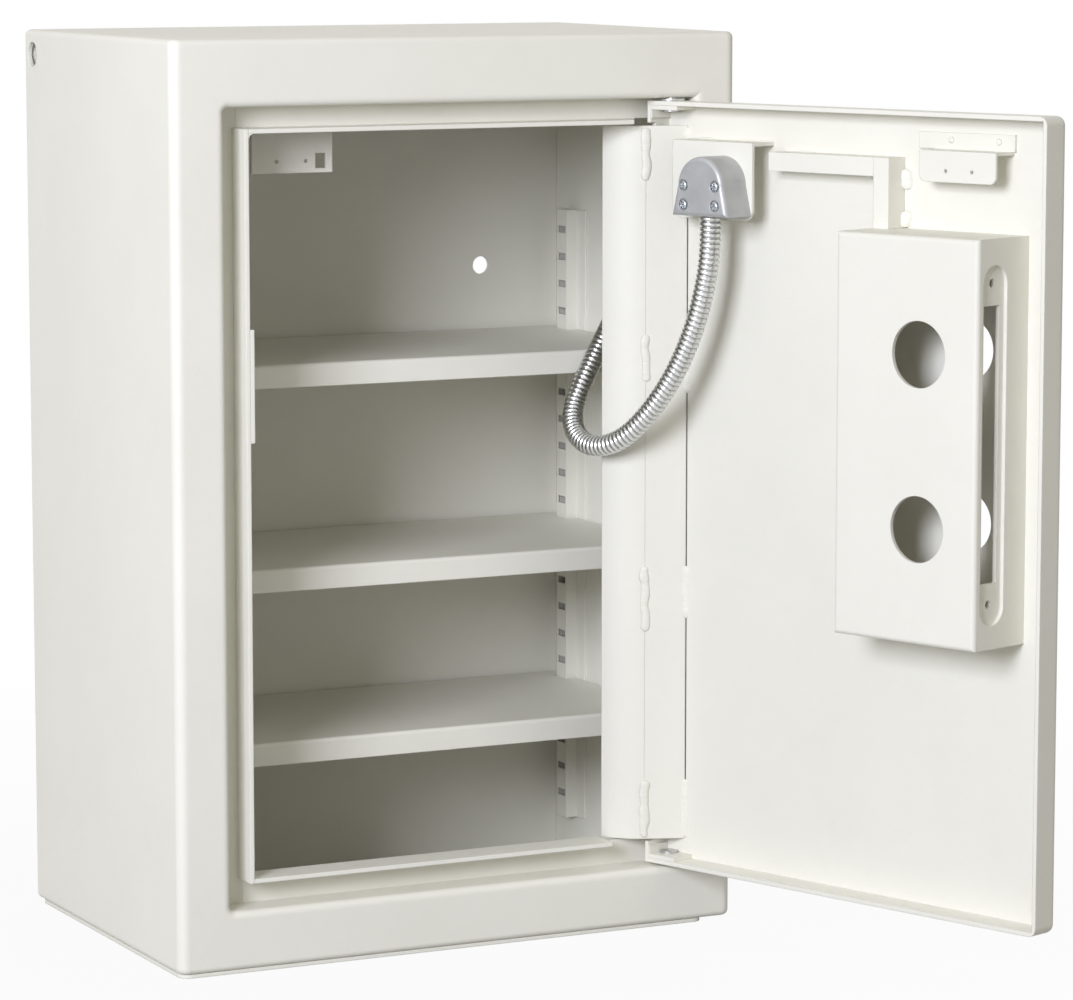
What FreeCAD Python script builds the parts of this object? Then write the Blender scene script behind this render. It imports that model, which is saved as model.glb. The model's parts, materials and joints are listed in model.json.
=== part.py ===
import FreeCAD, Part
import math
import os

import Sketcher
from FreeCAD import Placement, Rotation, Vector

# Wall-mounted security cabinet with a hooked door, a lock box and a flexible cable loop.
# Millimetres. The origin is the middle of the underside, X to the right, Y to the back, Z up.

SIZES = {
    # cabinet body
    "width": 416,
    "depth": 270,
    "height": 620,
    "sheet": 3,
    "bend_radius": 7,
    "edge_radius": 4,
    "base_thickness": 2.5,
    "base_inset": 2,
    "base_hinge_inset": 21,
    "base_corner": 8,
    "stile_lock": 37,
    "stile_hinge": 31,
    "rail_top": 44.5,
    "rail_bottom": 39.5,
    "return_depth": 26.5,
    "hinge_return_depth": 20,
    "opening_bend": 5,
    "anchor_hole": 13,
    "anchor_spread": 285,
    "anchor_height": 443,
    "entry_hole": 17,
    "entry_from_back": 13,
    "entry_from_top": 17,
    # rebate round the opening
    "rim_gap_side": 16,
    "rim_gap_top": 14.5,
    "rim_gap_bottom": 17,
    "rim_setback": 5,
    "rim_end_top": 45,
    "rim_end_bottom": 60,
    "strike_height": 75,
    "strike_drop": 75.5,
    "strike_thickness": 3,
    # shelf rails, clips and shelves
    "rail_sheet": 1.5,
    "rail_web": 16,
    "rail_proud": 10,
    "rail_foot": 13,
    "rail_low": 31,
    "rail_under_cap": 15,
    "rail_end": 5,
    "rail_from_back": 31,
    "rail_front": 12,
    "slot_width": 12,
    "slot_height": 5,
    "slot_first": 49.5,
    "slot_pitch": 20,
    "shelf_sheet": 1.5,
    "shelf_front": -47,
    "shelf_back_gap": 3,
    "shelf_side_gap": 1.5,
    "shelf_lip": 16,
    "shelf_bend": 2.5,
    "shelf_notch": 24,
    "shelf_notch_gap": 2,
    "shelf_rise": 7,
    "slot_count_above": 4,
    "slot_count_below": 4,
    "clip_sheet": 2,
    "clip_width": 11,
    "clip_reach": 14,
    "clip_hook": 3,
    # alarm contact brackets
    "contact_sheet": 2,
    "contact_setback": 60,
    "contact_from_edge": 44,
    "contact_width": 59,
    "contact_drop": 89,
    "contact_flange": 20,
    "contact_hole": 2.5,
    "contact_hole_in": 18.1,
    "contact_hole_pitch": 21.4,
    "contact_hole_rise": 8,
    "contact_window_in": 46.5,
    "contact_window_width": 7.5,
    "contact_window_rise": 3,
    "contact_window_height": 10,
    # door
    "door_gap": 2,
    "hinge_gap": 3.5,
    "door_lip": 22,
    "hinge_lip": 17,
    "hook_clearance": 2,
    "door_bend": 5,
    "door_corner": 6,
    "pivot_in": 10.5,
    "pivot_deep": 9,
    "open_angle": 109.5,
    # hook behind the hinge stile
    "hook_end_low": 16.5,
    "hook_end_high": 17,
    "hook_radius": 37.4,
    "hook_turn": 50,
    "hook_reach": 26.85,
    "hook_centre": 0.95,
    # pivots
    "pin_diameter": 8,
    "pin_head": 11,
    "pin_head_height": 3,
    "bush_diameter": 12,
    "bush_flange": 18,
    "bush_thrust": 0.5,
    "bush_ring": 1.5,
    "fit_clearance": 0.05,
    "hinge_plate_length": 24,
    "hinge_plate_tab": 9,
    "hinge_tab_sheet": 1.2,
    # cable bracket, caps and ducts
    "bracket_sheet": 2.5,
    "bracket_from": 26,
    "bracket_width": 72,
    "bracket_standoff": 25,
    "bracket_drop": 25.5,
    "bracket_height": 52.5,
    "bracket_corner": 8,
    "cap_from_hinge": 72.5,
    "cap_drop": 49,
    "cap_foot": 50,
    "cap_shoulder": 40,
    "cap_shoulder_height": 21,
    "cap_height": 40,
    "cap_depth": 25,
    "cap_wall": 2.5,
    "cap_edge": 3,
    "cap_wall_y": -11,
    "cap_screw_spread": 28,
    "cap_screw_low": 7.5,
    "cap_screw_high": 20.5,
    "cap_seat": 8,
    "cap_seat_depth": 1.2,
    "screw_head": 6.4,
    "screw_crown": 4.2,
    "screw_head_height": 2.4,
    "screw_shank": 3.5,
    "screw_length": 16,
    "screw_clearance": 0.3,
    "hose_axis": 13,
    "duct_sheet": 1.5,
    "duct_height": 17,
    "duct_gap": 10,
    "duct_width": 12.5,
    "duct_drop": 18,
    "duct_upright_width": 13,
    # door side of the alarm contact
    "mate_overhang": 3.5,
    "mate_width": 79,
    "mate_flange_drop": 13.5,
    "mate_flange_height": 11,
    "mate_deep": 22,
    "mate_plate_overhang": 1.5,
    "mate_plate_width": 63,
    "mate_plate_lift": 0.7,
    "mate_corner": 5,
    # lock box
    "lock_gap": 27.5,
    "lock_width": 117.5,
    "lock_deep": 55,
    "lock_drop": 34,
    "lock_bend": 3,
    "lock_hole": 43.5,
    "lock_hole_in": 48,
    "lock_hole_below": 47.5,
    "lock_hole_above": 46.2,
    "door_hole": 40,
    "lock_slot_deep": 37,
    "lock_slot_width": 24,
    "lock_slot_top": 17,
    "lock_slot_bottom": 15.5,
    "lock_notch": 10,
    "mount_plate_margin": 5,
    "mount_screw": 5.5,
    "mount_screw_pitch": 207,
    "mount_screw_top": 11.5,
    "mount_screw_bottom": 13.5,
    "mount_window_width": 16,
    "mount_window_top": 14.5,
    "mount_window_bottom": 13.5,
    # conduit
    "hose_diameter": 14.5,
    "hose_bore": 10,
    "hose_groove": 0.9,
    "hose_pitch": 5.6,
}

# Route of the conduit from the door cap to the wall cap, with the door as it stands open.
HOSE_ROUTE = (
    (156.36, -194.12, 499.0),
    (156.36, -194.12, 473.0),
    (154.0, -190.0, 448.0),
    (150.5, -184.0, 424.0),
    (144.5, -173.5, 397.0),
    (136.5, -160.0, 373.0),
    (128.0, -145.5, 354.0),
    (121.5, -133.5, 343.5),
    (115.5, -120.0, 337.5),
    (111.0, -104.5, 336.5),
    (110.0, -89.0, 340.5),
    (112.5, -75.5, 349.0),
    (118.5, -66.2, 361.0),
    (127.5, -62.5, 376.0),
    (138.5, -58.5, 392.0),
    (150.0, -53.0, 406.5),
    (161.5, -45.0, 419.0),
    (172.0, -34.5, 430.0),
    (181.0, -24.0, 442.5),
    (188.0, -16.0, 457.5),
    (192.0, -11.0, 476.0),
    (192.0, -11.0, 499.0),
)
RUN_SHARE = 0.45

doc = FreeCAD.newDocument("security_cabinet")
sizes = doc.addObject("Spreadsheet::Sheet", "sizes")
for row, (alias, number) in enumerate(SIZES.items(), start=1):
    sizes.set(f"A{row}", alias)
    sizes.set(f"B{row}", str(number))
    sizes.setAlias(f"B{row}", alias)
doc.recompute()

# Positions that several pieces share, written as expressions on the sheet.
FRONT = "(-sizes.depth / 2)"
BACK = "(sizes.depth / 2)"
SIDE = "(sizes.width / 2)"
INSIDE = "(sizes.width / 2 - sizes.sheet)"
FLOOR = "(sizes.base_thickness + sizes.sheet)"
CEILING = "(sizes.height - sizes.sheet)"
OPEN_LEFT = "(-sizes.width / 2 + sizes.stile_lock)"
OPEN_RIGHT = "(sizes.width / 2 - sizes.stile_hinge)"
OPEN_LOW = "(sizes.base_thickness + sizes.rail_bottom)"
OPEN_HIGH = "(sizes.height - sizes.rail_top)"
REBATE = f"({FRONT} + sizes.return_depth)"
REBATE_BACK = f"({REBATE} + sizes.sheet)"
RIM_FRONT = f"({FRONT} + sizes.rim_setback)"
RIM_LEFT = f"({OPEN_LEFT} + sizes.rim_gap_side)"
RIM_INNER = f"({RIM_LEFT} + sizes.sheet)"
RIM_HIGH = f"({OPEN_HIGH} - sizes.rim_gap_top)"
RIM_LOW = f"({OPEN_LOW} + sizes.rim_gap_bottom)"
DOOR_LEFT = f"({OPEN_LEFT} + sizes.door_gap)"
DOOR_RIGHT = f"({OPEN_RIGHT} - sizes.hinge_gap)"
DOOR_LOW = f"({OPEN_LOW} + sizes.door_gap)"
DOOR_HIGH = f"({OPEN_HIGH} - sizes.door_gap)"
DOOR_PLATE = f"({FRONT} + sizes.sheet)"
DOOR_EDGE = f"({FRONT} + sizes.door_lip)"
PIVOT_X = f"({DOOR_RIGHT} - sizes.pivot_in)"
PIVOT_Y = f"({FRONT} + sizes.pivot_deep)"
HOOK_LOW = f"({DOOR_LOW} + sizes.hook_end_low)"
HOOK_HIGH = f"({DOOR_HIGH} - sizes.hook_end_high)"
BRACKET_TOP = f"({DOOR_HIGH} - sizes.bracket_drop)"
BRACKET_RIGHT = f"({DOOR_RIGHT} - sizes.bracket_from)"
BRACKET_LEFT = f"({BRACKET_RIGHT} - sizes.bracket_width)"
CAP_SEAT = "(sizes.cap_depth - sizes.cap_seat_depth)"
CAP_LOW = f"({BRACKET_TOP} - sizes.cap_drop)"
CONTACT_LEFT = f"({OPEN_LEFT} + sizes.contact_from_edge)"
CONTACT_LOW = f"({CEILING} - sizes.contact_drop)"
CONTACT_HOLE = f"({CONTACT_LEFT} + sizes.contact_hole_in)"
CONTACT_HOLE_HEIGHT = f"({CONTACT_LOW} + sizes.contact_hole_rise)"
CONTACT_HOLES = (
    (CONTACT_HOLE, CONTACT_HOLE_HEIGHT),
    (f"({CONTACT_HOLE} + sizes.contact_hole_pitch)", CONTACT_HOLE_HEIGHT),
)
LOCK_LEFT = f"({DOOR_LEFT} + sizes.lock_gap)"
LOCK_INNER = f"({LOCK_LEFT} + sizes.sheet)"
LOCK_RIGHT = f"({LOCK_LEFT} + sizes.lock_width)"
LOCK_FACE = f"({FRONT} + sizes.lock_deep)"
DUCT_LOW = f"({BRACKET_TOP} - sizes.duct_drop)"
DUCT_HIGH = f"({DUCT_LOW} + sizes.duct_width)"
DUCT_BEND = f"({LOCK_RIGHT} - sizes.duct_sheet)"
DUCT_FACE = f"({DOOR_PLATE} + sizes.duct_height)"
LOCK_HIGH = f"({DUCT_LOW} - sizes.lock_drop)"
SLOT_HIGH = f"({LOCK_HIGH} - sizes.lock_slot_top)"
SCREW_HIGH = f"({SLOT_HIGH} - sizes.mount_screw_top)"
SCREW_LOW = f"({SCREW_HIGH} - sizes.mount_screw_pitch)"
SLOT_LOW = f"({SCREW_LOW} - sizes.mount_screw_bottom)"
LOCK_LOW = f"({SLOT_LOW} - sizes.lock_slot_bottom)"
SLOT_DEEP = f"({FRONT} + sizes.lock_slot_deep)"
LOCK_HOLE = f"({LOCK_LEFT} + sizes.lock_hole_in)"
LOCK_HOLES = (
    (LOCK_HOLE, f"({SCREW_HIGH} - sizes.lock_hole_below)"),
    (LOCK_HOLE, f"({SCREW_LOW} + sizes.lock_hole_above)"),
)
RAIL_REAR = f"({BACK} - sizes.rail_from_back)"
RAIL_HIGH = f"({CAP_LOW} - sizes.rail_under_cap)"
LAST_SLOT = f"floor(({RAIL_HIGH} - sizes.rail_end - sizes.slot_first) / sizes.slot_pitch)"
SHELF_SLOTS = {
    "upper": f"({LAST_SLOT} - sizes.slot_count_above)",
    "middle": f"floor(({LAST_SLOT} - sizes.slot_count_above + sizes.slot_count_below) / 2)",
    "lower": "sizes.slot_count_below",
}
BUSH_HOLE = "(sizes.bush_diameter + 2 * sizes.fit_clearance)"
PIN_HOLE = "(sizes.pin_diameter + 2 * sizes.fit_clearance)"

PLANES = {"XY": "XY_Plane", "XZ": "XZ_Plane", "YZ": "YZ_Plane"}
TOLERANCE = 0.01


def value(expression):
    """Number that an expression on the sheet gives."""
    return float(sizes.evalExpression(str(expression)))


def from_hinge(distance):
    """X of a point on the closed door, measured from the door's hinge edge."""
    return f"({DOOR_RIGHT} - {distance})"


def new_body(label):
    """Empty body whose label is the name of its node."""
    body = doc.addObject("PartDesign::Body", label)
    body.Label = label
    return body


def new_sketch(body, plane, level):
    """Sketch on an origin plane of the body, moved along that plane's axis to a level."""
    sketch = body.newObject("Sketcher::SketchObject", f"{body.Name}_sketch")
    role = PLANES[plane]
    support = [item for item in body.Origin.OriginFeatures if item.Role == role][0]
    sketch.AttachmentSupport = [(support, "")]
    sketch.MapMode = "FlatFace"
    sign = "-" if plane == "XZ" else ""
    sketch.setExpression("AttachmentOffset.Base.z", f"{sign}({level})")
    return sketch


def pin_point(sketch, geometry, position, point):
    """Tie a point of a sketch to a place given by two expressions."""
    for kind, expression in zip(("DistanceX", "DistanceY"), point):
        constraint = Sketcher.Constraint(kind, -1, 1, geometry, position, value(expression))
        index = sketch.addConstraint(constraint)
        sketch.setExpression(f"Constraints[{index}]", expression)


def draw_polygon(sketch, points):
    """Closed outline of straight lines through points given by expressions."""
    first = sketch.GeometryCount
    places = [Vector(value(x), value(y), 0) for x, y in points]
    count = len(points)
    for index, place in enumerate(places):
        sketch.addGeometry(Part.LineSegment(place, places[(index + 1) % count]), False)
    for index, point in enumerate(points):
        following = first + (index + 1) % count
        sketch.addConstraint(Sketcher.Constraint("Coincident", first + index, 2, following, 1))
        pin_point(sketch, first + index, 1, point)


def draw_circle(sketch, centre, diameter):
    """Circle whose centre and diameter are expressions."""
    place = Vector(value(centre[0]), value(centre[1]), 0)
    circle = Part.Circle(place, Vector(0, 0, 1), value(diameter) / 2)
    geometry = sketch.addGeometry(circle, False)
    pin_point(sketch, geometry, 3, centre)
    index = sketch.addConstraint(Sketcher.Constraint("Diameter", geometry, value(diameter)))
    sketch.setExpression(f"Constraints[{index}]", diameter)


def box_points(left, right, low, high):
    """Corners of a rectangle."""
    return ((left, low), (right, low), (right, high), (left, high))


def add(body, plane, start, end, draw):
    """Pad an outline from one level to another along the plane's axis."""
    sketch = new_sketch(body, plane, start)
    draw(sketch)
    pad = body.newObject("PartDesign::Pad", f"{body.Name}_pad")
    pad.Profile = sketch
    pad.setExpression("Length", f"{end} - {start}")
    pad.Reversed = plane == "XZ"
    doc.recompute()
    return pad


def cut(body, plane, start, end, draw):
    """Pocket an outline from one level to another, and make sure that it cuts."""
    before = body.Shape.Volume
    sketch = new_sketch(body, plane, start)
    draw(sketch)
    pocket = body.newObject("PartDesign::Pocket", f"{body.Name}_pocket")
    pocket.Profile = sketch
    pocket.setExpression("Length", f"{end} - {start}")
    pocket.Reversed = plane != "XZ"
    doc.recompute()
    if body.Shape.Volume > before - TOLERANCE:
        raise RuntimeError(f"a pocket of {body.Label} cuts nothing")
    return pocket


def add_box(body, left, right, front, back, low, high):
    """Pad of a rectangle in plan."""
    outline = box_points(left, right, front, back)
    return add(body, "XY", low, high, lambda sketch: draw_polygon(sketch, outline))


def cut_box(body, left, right, front, back, low, high):
    """Pocket of a rectangle in plan."""
    outline = box_points(left, right, front, back)
    return cut(body, "XY", low, high, lambda sketch: draw_polygon(sketch, outline))


def drill(body, plane, start, end, centres, diameter):
    """Round holes of one diameter."""

    def draw(sketch):
        for centre in centres:
            draw_circle(sketch, centre, diameter)

    return cut(body, plane, start, end, draw)


def round_edges(body, radius, chosen):
    """Fillet the edges of the body's last feature that a test picks."""
    shape = body.Tip.Shape
    edges = enumerate(shape.Edges, start=1)
    names = [f"Edge{index}" for index, edge in edges if chosen(edge.BoundBox)]
    if not names:
        raise RuntimeError(f"no edge of {body.Label} is rounded")
    fillet = body.newObject("PartDesign::Fillet", f"{body.Name}_fillet")
    fillet.Base = (body.Tip if body.Tip != fillet else fillet.BaseFeature, names)
    fillet.setExpression("Radius", radius)
    doc.recompute()
    return fillet


def lies_at(low, high, expression):
    """Whether a range of a bounding box is a single place."""
    place = value(expression)
    return abs(low - place) < TOLERANCE and abs(high - place) < TOLERANCE


def turn(label, points):
    """Body of revolution about its own Z axis from an outline of radius and height."""
    body = new_body(label)
    sketch = new_sketch(body, "XZ", "0")
    draw_polygon(sketch, points)
    revolution = body.newObject("PartDesign::Revolution", f"{body.Name}_revolution")
    revolution.Profile = sketch
    revolution.ReferenceAxis = (sketch, ["V_Axis"])
    revolution.Angle = 360
    doc.recompute()
    return body


def open_door():
    """Placement that swings the closed door to the angle at which it stands open."""
    centre = Vector(value(PIVOT_X), value(PIVOT_Y), 0)
    return Placement(Vector(), Rotation(Vector(0, 0, 1), value("sizes.open_angle")), centre)


def swing(body, own=None):
    """Place a piece that was drawn on the closed door."""
    body.Placement = open_door().multiply(own or Placement())
    return body


def make_body_shell():
    """Folded body with its front frame, the returns round the opening and the holes in its walls."""
    body = new_body("body_shell")
    add_box(body, f"-{SIDE}", SIDE, FRONT, BACK, "sizes.base_thickness", "sizes.height")
    round_edges(
        body,
        "sizes.bend_radius",
        lambda box: lies_at(box.YMin, box.YMax, FRONT) and box.ZLength > box.XLength,
    )
    round_edges(
        body,
        "sizes.edge_radius",
        lambda box: lies_at(box.ZMin, box.ZMax, "sizes.height")
        or lies_at(box.ZMin, box.ZMax, "sizes.base_thickness"),
    )
    cut_box(body, f"-{INSIDE}", INSIDE, f"({FRONT} + sizes.sheet)", BACK, FLOOR, CEILING)
    round_edges(
        body,
        "sizes.bend_radius - sizes.sheet",
        lambda box: lies_at(box.YMin, box.YMax, f"{FRONT} + sizes.sheet") and box.ZLength > box.XLength,
    )
    opening = box_points(OPEN_LEFT, OPEN_RIGHT, OPEN_LOW, OPEN_HIGH)
    around = box_points(
        f"({OPEN_LEFT} - sizes.sheet)",
        f"({OPEN_RIGHT} + sizes.sheet)",
        f"({OPEN_LOW} - sizes.sheet)",
        f"({OPEN_HIGH} + sizes.sheet)",
    )
    add(body, "XZ", f"({FRONT} + sizes.sheet / 2)", REBATE, lambda sketch: draw_polygon(sketch, around))
    cut(body, "XZ", FRONT, REBATE, lambda sketch: draw_polygon(sketch, opening))
    cut_box(
        body,
        OPEN_RIGHT,
        f"({OPEN_RIGHT} + sizes.sheet)",
        f"({FRONT} + sizes.hinge_return_depth)",
        REBATE,
        f"({OPEN_LOW} - sizes.sheet)",
        f"({OPEN_HIGH} + sizes.sheet)",
    )
    round_edges(
        body,
        "sizes.opening_bend",
        lambda box: lies_at(box.YMin, box.YMax, FRONT)
        and box.XMin > value(OPEN_LEFT) - TOLERANCE
        and box.XMax < value(OPEN_RIGHT) + TOLERANCE
        and box.ZMin > value(OPEN_LOW) - TOLERANCE
        and box.ZMax < value(OPEN_HIGH) + TOLERANCE,
    )
    entry = (f"({BACK} - sizes.entry_from_back)", "(sizes.height - sizes.entry_from_top)")
    drill(body, "YZ", f"(-{SIDE})", f"(-{INSIDE})", [entry], "sizes.entry_hole")
    pivot = [(PIVOT_X, PIVOT_Y)]
    drill(body, "XY", f"({OPEN_LOW} - sizes.sheet)", OPEN_LOW, pivot, PIN_HOLE)
    drill(body, "XY", OPEN_HIGH, f"({OPEN_HIGH} + sizes.sheet)", pivot, PIN_HOLE)
    return body


def make_back_panel():
    """Back sheet between the walls, with two holes for wall anchors."""
    body = new_body("back_panel")
    front = f"({BACK} - sizes.sheet)"
    add_box(body, f"-{INSIDE}", INSIDE, front, BACK, FLOOR, CEILING)
    anchors = [(f"({sign}sizes.anchor_spread / 2)", "sizes.anchor_height") for sign in ("-", "")]
    drill(body, "XZ", front, BACK, anchors, "sizes.anchor_hole")
    return body


def make_base_plate():
    """Thin sheet under the body."""
    body = new_body("base_plate")
    left = f"(-{SIDE} + sizes.base_inset)"
    right = f"({SIDE} - sizes.base_hinge_inset)"
    front = f"({FRONT} + sizes.base_inset)"
    add_box(body, left, right, front, f"({BACK} - sizes.base_inset)", "0", "sizes.base_thickness")
    round_edges(body, "sizes.base_corner", lambda box: box.XLength < TOLERANCE and box.YLength < TOLERANCE)
    return body


def make_rebate_left():
    """Lock-side strip: floor behind the return and a rim that stands forward."""
    body = new_body("rebate_left")
    edge = f"({OPEN_LEFT} - sizes.sheet)"
    low = f"({OPEN_LOW} - sizes.sheet)"
    high = f"({OPEN_HIGH} + sizes.sheet)"
    add_box(body, edge, RIM_INNER, REBATE, REBATE_BACK, low, high)
    add_box(body, RIM_LEFT, RIM_INNER, RIM_FRONT, REBATE_BACK, RIM_LOW, RIM_HIGH)
    return body


def make_rebate_top():
    """Upper strip, whose rim stops short of the hinge side with a slanted end."""
    body = new_body("rebate_top")
    edge = f"({OPEN_HIGH} + sizes.sheet)"
    inner = f"({RIM_HIGH} - sizes.sheet)"
    end = f"({OPEN_RIGHT} - sizes.rim_end_top)"
    slant = f"({end} + sizes.return_depth / 2)"
    add_box(body, RIM_INNER, OPEN_RIGHT, REBATE, REBATE_BACK, RIM_HIGH, edge)
    rim = ((RIM_INNER, RIM_FRONT), (end, RIM_FRONT), (slant, REBATE_BACK), (RIM_INNER, REBATE_BACK))
    add(body, "XY", inner, RIM_HIGH, lambda sketch: draw_polygon(sketch, rim))
    return body


def make_rebate_bottom():
    """Lower strip, whose rim stops short of the hook's path."""
    body = new_body("rebate_bottom")
    edge = f"({OPEN_LOW} - sizes.sheet)"
    inner = f"({RIM_LOW} + sizes.sheet)"
    end = f"({OPEN_RIGHT} - sizes.rim_end_bottom)"
    add_box(body, RIM_INNER, OPEN_RIGHT, REBATE, REBATE_BACK, edge, RIM_LOW)
    add_box(body, RIM_INNER, end, RIM_FRONT, REBATE_BACK, RIM_LOW, inner)
    return body


def make_strike_plate():
    """Plate for the bolt on the inner side of the lock-side rim."""
    body = new_body("strike_plate")
    inner = f"({RIM_INNER} + sizes.strike_thickness)"
    middle = f"({SCREW_HIGH} - sizes.strike_drop)"
    low = f"({middle} - sizes.strike_height / 2)"
    high = f"({middle} + sizes.strike_height / 2)"
    add_box(body, RIM_INNER, inner, RIM_FRONT, REBATE_BACK, low, high)
    return body


def make_cabinet_contact_bracket():
    """Angle under the ceiling whose hanging plate faces the door's contact bracket."""
    body = new_body("cabinet_contact_bracket")
    right = f"({CONTACT_LEFT} + sizes.contact_width)"
    front = f"({FRONT} + sizes.contact_setback)"
    behind = f"({front} + sizes.contact_sheet)"
    under = f"({CEILING} - sizes.contact_sheet)"
    add_box(body, CONTACT_LEFT, right, front, behind, CONTACT_LOW, CEILING)
    add_box(body, CONTACT_LEFT, right, front, f"({front} + sizes.contact_flange)", under, CEILING)
    drill(body, "XZ", front, behind, CONTACT_HOLES, "sizes.contact_hole")
    window_left = f"({CONTACT_LEFT} + sizes.contact_window_in)"
    window_right = f"({window_left} + sizes.contact_window_width)"
    window_low = f"({CONTACT_LOW} + sizes.contact_window_rise)"
    window_high = f"({window_low} + sizes.contact_window_height)"
    cut_box(body, window_left, window_right, front, behind, window_low, window_high)
    return body


def make_shelf_rail(label, middle, sign):
    """Hat-section rail on a side wall with a row of slots in its web."""
    body = new_body(label)
    thick = "sizes.rail_sheet"
    wall = f"({sign}{INSIDE})"
    skin = f"({sign}({INSIDE} - {thick}))"
    web = f"({sign}({INSIDE} - sizes.rail_proud))"
    under = f"({sign}({INSIDE} - sizes.rail_proud + {thick}))"
    half = "sizes.rail_web / 2"
    foot = f"({half} + sizes.rail_foot)"
    outline = (
        (wall, f"({middle} - {foot})"),
        (skin, f"({middle} - {foot})"),
        (skin, f"({middle} - {half})"),
        (web, f"({middle} - {half})"),
        (web, f"({middle} + {half})"),
        (skin, f"({middle} + {half})"),
        (skin, f"({middle} + {foot})"),
        (wall, f"({middle} + {foot})"),
        (wall, f"({middle} + {half} - {thick})"),
        (under, f"({middle} + {half} - {thick})"),
        (under, f"({middle} - {half} + {thick})"),
        (wall, f"({middle} - {half} + {thick})"),
    )
    add(body, "XY", "sizes.rail_low", RAIL_HIGH, lambda sketch: draw_polygon(sketch, outline))
    ends = sorted((web, under), key=value)
    slot = cut_box(
        body,
        ends[0],
        ends[1],
        f"({middle} - sizes.slot_width / 2)",
        f"({middle} + sizes.slot_width / 2)",
        "(sizes.slot_first - sizes.slot_height / 2)",
        "(sizes.slot_first + sizes.slot_height / 2)",
    )
    row = body.newObject("PartDesign::LinearPattern", f"{body.Name}_slots")
    row.Originals = [slot]
    row.Direction = (slot.Profile[0], ["N_Axis"])
    row.setExpression("Length", f"{LAST_SLOT} * sizes.slot_pitch")
    row.setExpression("Occurrences", f"{LAST_SLOT} + 1")
    body.Tip = row
    doc.recompute()
    return body


def slot_height_of(slot):
    """Height of a rail slot, counted from the lowest one."""
    return f"(sizes.slot_first + {slot} * sizes.slot_pitch)"


def shelf_top(slot):
    """Upper face of a shelf whose clips sit in a slot."""
    return f"({slot_height_of(slot)} + sizes.shelf_rise)"


def make_shelf(label, slot):
    """Shelf with a folded lip at the front and back, notched round the rails."""
    body = new_body(label)
    top = shelf_top(slot)
    under = f"({top} - sizes.shelf_sheet)"
    low = f"({top} - sizes.shelf_lip)"
    side = f"({INSIDE} - sizes.rail_sheet - sizes.shelf_side_gap)"
    back = f"({BACK} - sizes.sheet - sizes.shelf_back_gap)"
    add_box(body, f"-{side}", side, "sizes.shelf_front", back, under, top)
    front_lip = "(sizes.shelf_front + sizes.shelf_sheet)"
    add_box(body, f"-{side}", side, "sizes.shelf_front", front_lip, low, under)
    add_box(body, f"-{side}", side, f"({back} - sizes.shelf_sheet)", back, low, under)
    notch = f"({INSIDE} - sizes.rail_proud - sizes.shelf_notch_gap)"
    for middle in (RAIL_REAR, "sizes.rail_front"):
        near = f"({middle} - sizes.shelf_notch / 2)"
        far = f"({middle} + sizes.shelf_notch / 2)"
        cut_box(body, notch, side, near, far, under, top)
        cut_box(body, f"-{side}", f"-{notch}", near, far, under, top)
    round_edges(
        body,
        "sizes.shelf_bend",
        lambda box: lies_at(box.YMin, box.YMax, "sizes.shelf_front")
        and lies_at(box.ZMin, box.ZMax, top),
    )
    return body


def make_shelf_clips(label, slot):
    """Four bent clips of one shelf, each hooked in a rail slot."""
    body = new_body(f"{label}_one")
    thick = "sizes.clip_sheet"
    seat = f"({slot_height_of(slot)} - sizes.slot_height / 2)"
    arm = f"({shelf_top(slot)} - sizes.shelf_sheet)"
    face = f"({INSIDE} - sizes.rail_proud)"
    behind = f"({face} + sizes.rail_sheet + sizes.fit_clearance)"
    outline = (
        (f"({face} - sizes.clip_reach)", arm),
        (f"({face} - sizes.clip_reach)", f"({arm} - {thick})"),
        (f"({face} - {thick})", f"({arm} - {thick})"),
        (f"({face} - {thick})", seat),
        (behind, seat),
        (behind, f"({seat} - sizes.clip_hook)"),
        (f"({behind} + {thick})", f"({seat} - sizes.clip_hook)"),
        (f"({behind} + {thick})", f"({seat} + {thick})"),
        (face, f"({seat} + {thick})"),
        (face, arm),
    )
    half = "sizes.clip_width / 2"
    add(body, "XZ", f"-{half}", half, lambda sketch: draw_polygon(sketch, outline))
    about = Rotation(Vector(0, 0, 1), 180)
    copies = []
    for middle in (RAIL_REAR, "sizes.rail_front"):
        for rotation in (Rotation(), about):
            copy = body.Shape.copy()
            copy.Placement = Placement(Vector(0, value(middle), 0), rotation)
            copies.append(copy)
    return group(label, copies, body)


def group(label, copies, pattern):
    """Node of several identical solids, which keeps its pattern body out of the exported pieces."""
    node = doc.addObject("Part::Feature", label)
    node.Label = label
    node.Shape = Part.makeCompound(copies)
    node.Placement = Placement()
    PATTERNS.append(pattern)
    return node


def make_hinge_pin(label, frame_face, sign):
    """Pivot pin with its head behind the frame, given the frame face that it comes out of."""
    head = "sizes.pin_head / 2"
    shaft = "sizes.pin_diameter / 2"
    behind = "(-sizes.sheet)"
    reach = "(sizes.door_gap + 2 * sizes.sheet + sizes.bush_ring)"
    outline = (
        ("0", f"({behind} - sizes.pin_head_height)"),
        (head, f"({behind} - sizes.pin_head_height)"),
        (head, behind),
        (shaft, behind),
        (shaft, reach),
        ("0", reach),
    )
    body = turn(label, outline)
    flip = Rotation(Vector(1, 0, 0), 0 if sign > 0 else 180)
    body.Placement = Placement(Vector(value(PIVOT_X), value(PIVOT_Y), value(frame_face)), flip)
    return body


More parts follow.
